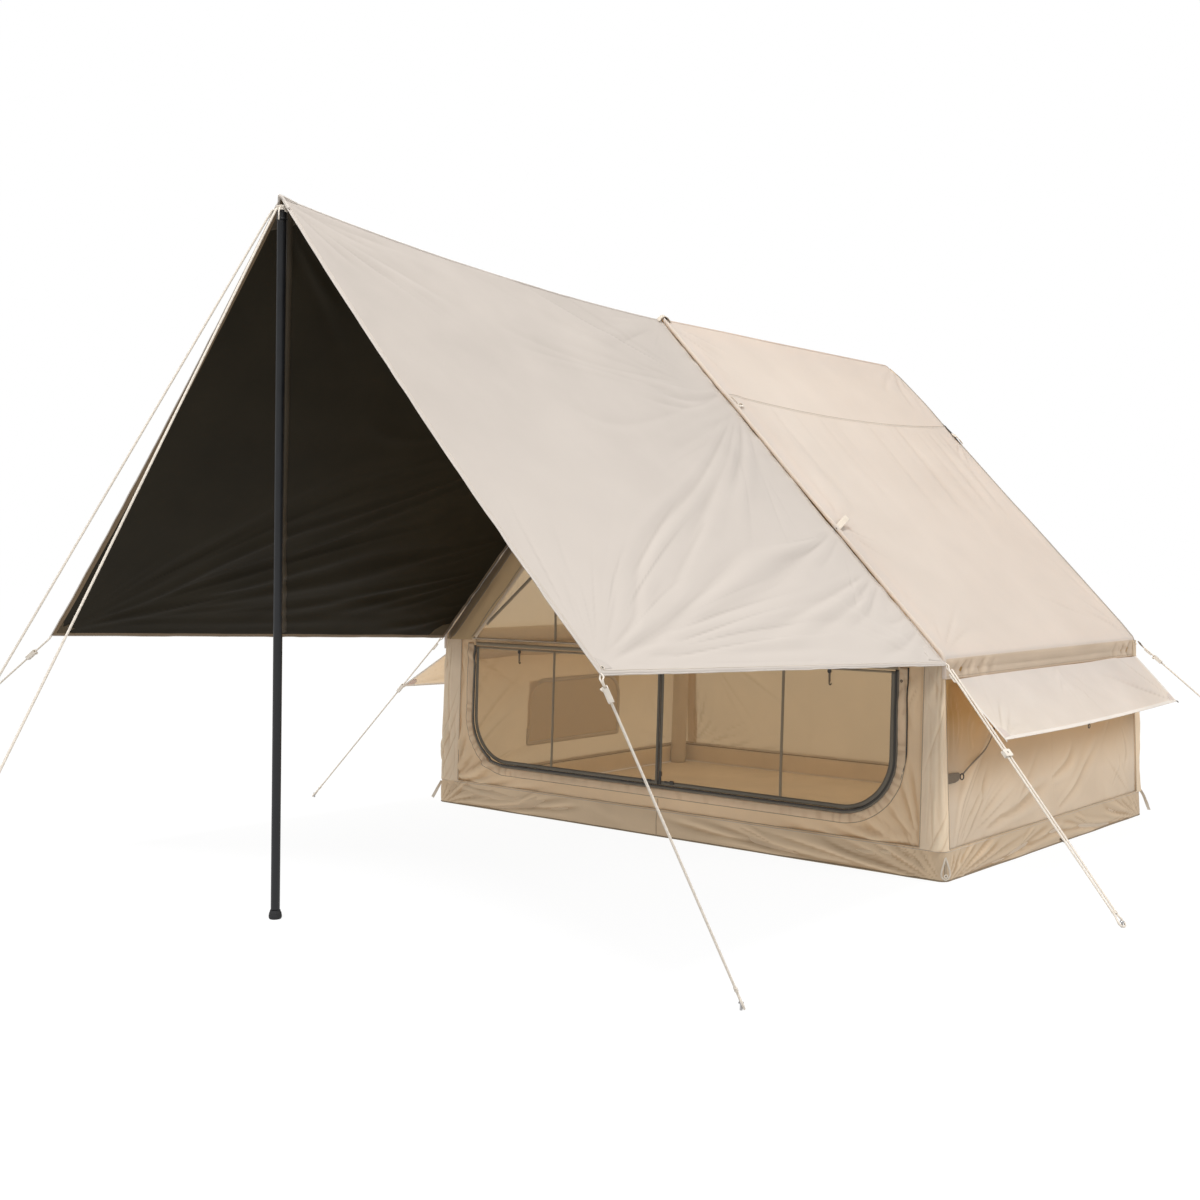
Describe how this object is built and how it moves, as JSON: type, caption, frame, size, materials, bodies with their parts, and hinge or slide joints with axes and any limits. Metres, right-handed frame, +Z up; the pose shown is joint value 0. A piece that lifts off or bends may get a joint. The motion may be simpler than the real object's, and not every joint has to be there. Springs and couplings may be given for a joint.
{
  "type": "inflatable tent",
  "caption": "Inflatable A-frame tent with air-filled arches, wide mesh door, side canopy flaps and a raised front awning held up by a pole and guy ropes",
  "frame": {"origin": "middle of the floor's underside, on the ground", "axes": "+Z up; -Y out of the door, towards the awning; +X to the right of a person inside who looks away from the door, and to the right in a front view"},
  "size_m": [4.9319, 6.2996, 2.6028],
  "materials": {
    "canvas": "matt woven canvas",
    "awning": "matt coated cloth, dark coating on the inner side",
    "mesh": "fine insect mesh",
    "groundsheet": "coated cloth",
    "air_beam": "sleeved air tube",
    "pole": "satin black",
    "foot_rubber": "matt",
    "rope": "twisted cord",
    "fitting": "satin",
    "zip": "matt",
    "valve": "matt",
    "peg_steel": "brushed"
  },
  "bodies": {
    "tent": {"groundsheet": "groundsheet", "wall_front": "canvas", "wall_left": "canvas", "wall_right": "canvas", "wall_rear": "canvas", "window_mesh_left": "mesh", "eave_band_left": "canvas", "eave_band_right": "canvas", "gable_mesh_front": "mesh", "gable_rear": "canvas", "roof_panel_left": "canvas", "roof_panel_right": "canvas", "front_air_arch": "air_beam", "rear_air_arch": "air_beam", "ridge_air_beam": "air_beam", "eave_air_beam_left": "air_beam", "eave_air_beam_right": "air_beam", "awning_left": "awning", "awning_right": "awning", "pole_tube": "pole", "pole_cap": "pole", "pole_foot": "foot_rubber", "valve_body": "valve", "wall_anchor_right": "zip", "guy_ring_rear_left": "fitting", "guy_front_left": "rope", "guy_front_right": "rope", "guy_awning_left": "rope", "guy_awning_right": "rope", "guy_eave_front_left": "rope", "guy_eave_front_right": "rope", "guy_eave_rear_right": "rope", "peg_front_left": "peg_steel", "peg_front_right": "peg_steel", "peg_awning_left": "peg_steel", "peg_awning_right": "peg_steel", "peg_eave_front_left": "peg_steel", "peg_eave_front_right": "peg_steel", "peg_eave_rear_right": "peg_steel"},
    "door_left": {"door_mesh_left": "mesh"},
    "door_right": {"door_mesh_right": "mesh"},
    "zip_pull_centre": {"zip_pull_centre": "zip"},
    "zip_pull_left": {"zip_pull_left": "zip"},
    "zip_pull_right": {"zip_pull_right": "zip"},
    "door_tie_left": {"door_tie_left": "zip"},
    "door_tie_right": {"door_tie_right": "zip"},
    "side_flap_left": {"side_flap_left": "canvas"},
    "side_flap_right": {"side_flap_right": "canvas"},
    "valve_cap": {"valve_cap": "valve"},
    "runner_awning_left": {"runner_awning_left": "fitting"},
    "runner_awning_right": {"runner_awning_right": "fitting"},
    "runner_eave_front_left": {"runner_eave_front_left": "fitting"},
    "runner_eave_front_right": {"runner_eave_front_right": "fitting"},
    "runner_eave_rear_right": {"runner_eave_rear_right": "fitting"}
  },
  "joints": [
    {"name": "door_left_lift", "type": "hinge", "parent": "tent", "child": "door_left", "pos_m": [0, -1.03444, 0.85166], "axis": [-1, 0, 0], "range_deg": [0, 90]},
    {"name": "door_tie_left_swing", "type": "hinge", "parent": "door_left", "child": "door_tie_left", "pos_m": [-0.93, -1.03966, 0.84586], "axis": [-1, 0, 0], "range_deg": [0, 80]},
    {"name": "zip_left_slide", "type": "slide", "parent": "door_left", "child": "zip_pull_left", "axis": [-1, 0, 0], "range_m": [0, 0.86]},
    {"name": "side_flap_left_fold", "type": "hinge", "parent": "tent", "child": "side_flap_left", "pos_m": [-1.487, 0, 0.824], "axis": [0, -1, 0], "range_deg": [0, 40]},
    {"name": "door_right_lift", "type": "hinge", "parent": "tent", "child": "door_right", "pos_m": [0, -1.03444, 0.85166], "axis": [-1, 0, 0], "range_deg": [0, 90]},
    {"name": "door_tie_right_swing", "type": "hinge", "parent": "door_right", "child": "door_tie_right", "pos_m": [0.93, -1.03966, 0.84586], "axis": [-1, 0, 0], "range_deg": [0, 80]},
    {"name": "zip_right_slide", "type": "slide", "parent": "door_right", "child": "zip_pull_right", "axis": [1, 0, 0], "range_m": [0, 0.86]},
    {"name": "side_flap_right_fold", "type": "hinge", "parent": "tent", "child": "side_flap_right", "pos_m": [1.487, 0, 0.824], "axis": [0, 1, 0], "range_deg": [0, 40]},
    {"name": "zip_centre_slide", "type": "slide", "parent": "door_right", "child": "zip_pull_centre", "axis": [0, 0.0382, 0.9993], "range_m": [0, 0.52]},
    {"name": "runner_awning_left_slide", "type": "slide", "parent": "tent", "child": "runner_awning_left", "axis": [-0.6367, -0.4154, -0.6497], "range_m": [0, 0.6]},
    {"name": "runner_awning_right_slide", "type": "slide", "parent": "tent", "child": "runner_awning_right", "axis": [0.2804, 0.2862, -0.9162], "range_m": [0, 0.6]},
    {"name": "runner_eave_front_left_slide", "type": "slide", "parent": "tent", "child": "runner_eave_front_left", "axis": [-0.5443, -0.33, -0.7713], "range_m": [-0.2, 0.45]},
    {"name": "runner_eave_front_right_slide", "type": "slide", "parent": "tent", "child": "runner_eave_front_right", "axis": [0.6712, -0.1985, -0.7142], "range_m": [-0.25, 0.45]},
    {"name": "runner_eave_rear_right_slide", "type": "slide", "parent": "tent", "child": "runner_eave_rear_right", "axis": [0.7043, 0.2434, -0.6669], "range_m": [0, 0.6]},
    {"name": "valve_cap_turn", "type": "hinge", "parent": "tent", "child": "valve_cap", "pos_m": [-1.48933, -0.952, 0.30003], "axis": [-0.9993, 0, 0.0382], "range_deg": [0, 360]}
  ]
}
